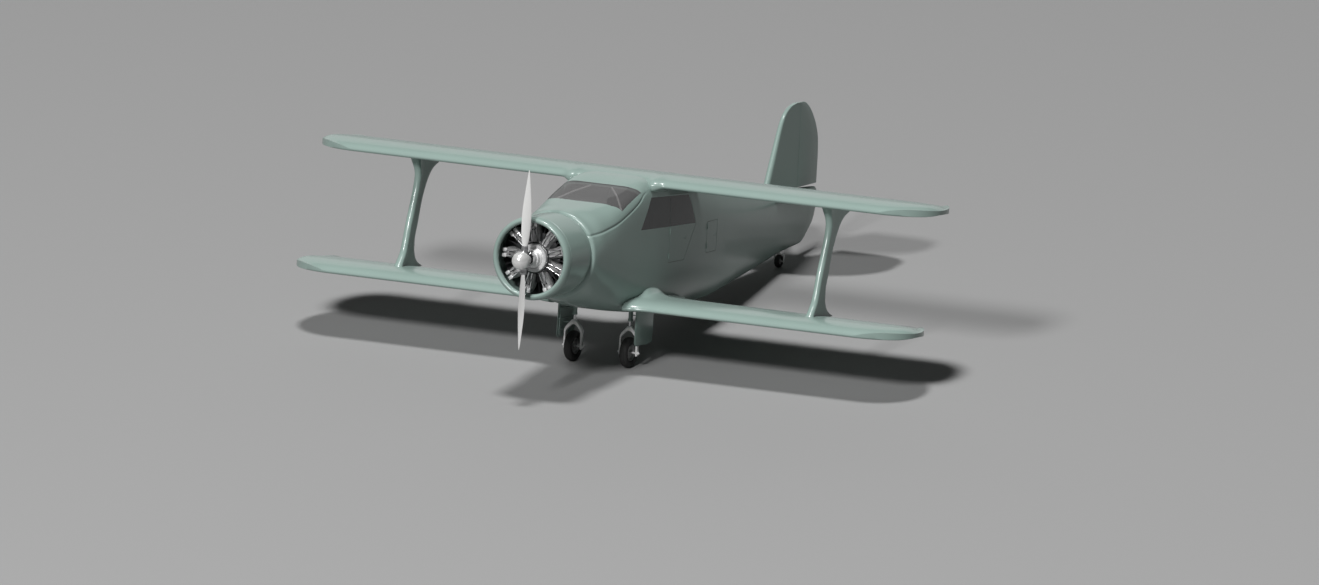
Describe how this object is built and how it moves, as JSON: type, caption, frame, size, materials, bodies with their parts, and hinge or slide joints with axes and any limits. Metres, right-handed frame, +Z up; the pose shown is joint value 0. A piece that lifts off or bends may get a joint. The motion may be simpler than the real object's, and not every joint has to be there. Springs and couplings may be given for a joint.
{
  "type": "cabin biplane",
  "caption": "Cabin biplane parked nose-up on its gear: lower wing ahead of the upper, open-fronted cowling round a finned radial engine, hollow cabin, forked wheels.",
  "frame": {"origin": "on the floor, midway along and across the parked aircraft", "axes": "+X to the aircraft's left, +Y aft, +Z up; the nose points along -Y"},
  "size_m": [9.754, 10.0557, 3.4099],
  "materials": {
    "paint": "gloss",
    "tinted_glass": "clear, smoke tint",
    "engine_metal": "as cast and machined",
    "propeller_metal": "satin",
    "spinner_metal": "polished",
    "gear_metal": "silver grey gloss",
    "wheel_metal": "satin",
    "tyre_rubber": "matt",
    "dark_trim": "matt",
    "seat_cloth": "woven"
  },
  "bodies": {
    "airframe": {"cabin_fuselage": "paint", "tail_fuselage": "paint", "upper_wing": "paint", "lower_wing_left": "paint", "lower_wing_right": "paint", "strut_left": "paint", "strut_right": "paint", "fin": "paint", "tailplane_left": "paint", "tailplane_right": "paint", "cowling": "paint", "leg_door_left": "paint", "leg_door_right": "paint", "windshield": "tinted_glass", "left_side_window": "tinted_glass", "right_side_window": "tinted_glass", "engine": "engine_metal", "main_leg_left": "gear_metal", "main_leg_right": "gear_metal", "tail_wheel_post": "gear_metal", "cabin_floor": "dark_trim", "cabin_bulkhead": "dark_trim", "instrument_panel": "dark_trim", "control_column": "dark_trim", "front_seat_left": "seat_cloth", "front_seat_right": "seat_cloth", "rear_bench": "seat_cloth"},
    "propeller": {"propeller": "propeller_metal", "spinner": "spinner_metal"},
    "aileron_left": {"aileron_left": "paint"},
    "aileron_right": {"aileron_right": "paint"},
    "flaps": {"flap_left": "paint", "flap_right": "paint"},
    "elevators": {"elevator_left": "paint", "elevator_right": "paint"},
    "rudder": {"rudder": "paint"},
    "cabin_door": {"cabin_door": "paint", "door_window": "tinted_glass"},
    "baggage_door": {"baggage_door": "paint"},
    "main_wheel_left": {"main_wheel_left": "wheel_metal", "main_tyre_left": "tyre_rubber"},
    "main_wheel_right": {"main_wheel_right": "wheel_metal", "main_tyre_right": "tyre_rubber"},
    "tail_fork": {"tail_wheel_fork": "gear_metal"},
    "tail_wheel": {"tail_wheel": "wheel_metal", "tail_tyre": "tyre_rubber"}
  },
  "joints": [
    {"name": "propeller_spin", "type": "hinge", "parent": "airframe", "child": "propeller", "pos_m": [0, -4.7803, 2.13465], "axis": [0, -0.9903, 0.1392], "continuous": true},
    {"name": "aileron_left_hinge", "type": "hinge", "parent": "airframe", "child": "aileron_left", "pos_m": [3.315, -0.69764, 2.45404], "axis": [1, 0, 0], "range_deg": [-20, 20]},
    {"name": "aileron_right_hinge", "type": "hinge", "parent": "airframe", "child": "aileron_right", "pos_m": [-3.315, -0.69764, 2.45404], "axis": [1, 0, 0], "range_deg": [-20, 20]},
    {"name": "flap_hinge", "type": "hinge", "parent": "airframe", "child": "flaps", "pos_m": [0, -1.54303, 0.85771], "axis": [-1, 0, 0], "range_deg": [0, 40]},
    {"name": "elevator_hinge", "type": "hinge", "parent": "airframe", "child": "elevators", "pos_m": [0, 4.26486, 0.96442], "axis": [1, 0, 0], "range_deg": [-20, 25]},
    {"name": "rudder_hinge", "type": "hinge", "parent": "airframe", "child": "rudder", "pos_m": [0, 4.23959, 1.07199], "axis": [0, 0.1392, 0.9903], "range_deg": [-28, 28]},
    {"name": "cabin_door_hinge", "type": "hinge", "parent": "airframe", "child": "cabin_door", "pos_m": [0.692, -1.41339, 1.66147], "axis": [0, -0.1392, -0.9903], "range_deg": [0, 75]},
    {"name": "baggage_door_hinge", "type": "hinge", "parent": "airframe", "child": "baggage_door", "pos_m": [0.646, -0.05672, 1.4708], "axis": [0, -0.1392, -0.9903], "range_deg": [0, 90]},
    {"name": "main_wheel_left_spin", "type": "hinge", "parent": "airframe", "child": "main_wheel_left", "pos_m": [0.44, -2.26529, 0.22], "axis": [1, 0, 0], "continuous": true},
    {"name": "main_wheel_right_spin", "type": "hinge", "parent": "airframe", "child": "main_wheel_right", "pos_m": [-0.44, -2.26529, 0.22], "axis": [1, 0, 0], "continuous": true},
    {"name": "tail_wheel_swivel", "type": "hinge", "parent": "airframe", "child": "tail_fork", "pos_m": [0, 3.67064, 0.09904], "axis": [0, 0.1392, 0.9903], "range_deg": [-40, 40]},
    {"name": "tail_wheel_spin", "type": "hinge", "parent": "tail_fork", "child": "tail_wheel", "pos_m": [0, 3.69936, 0.095], "axis": [1, 0, 0], "continuous": true}
  ],
  "couplings": [
    {"joint": "aileron_right_hinge", "follows": "aileron_left_hinge", "ratio": -1}
  ]
}
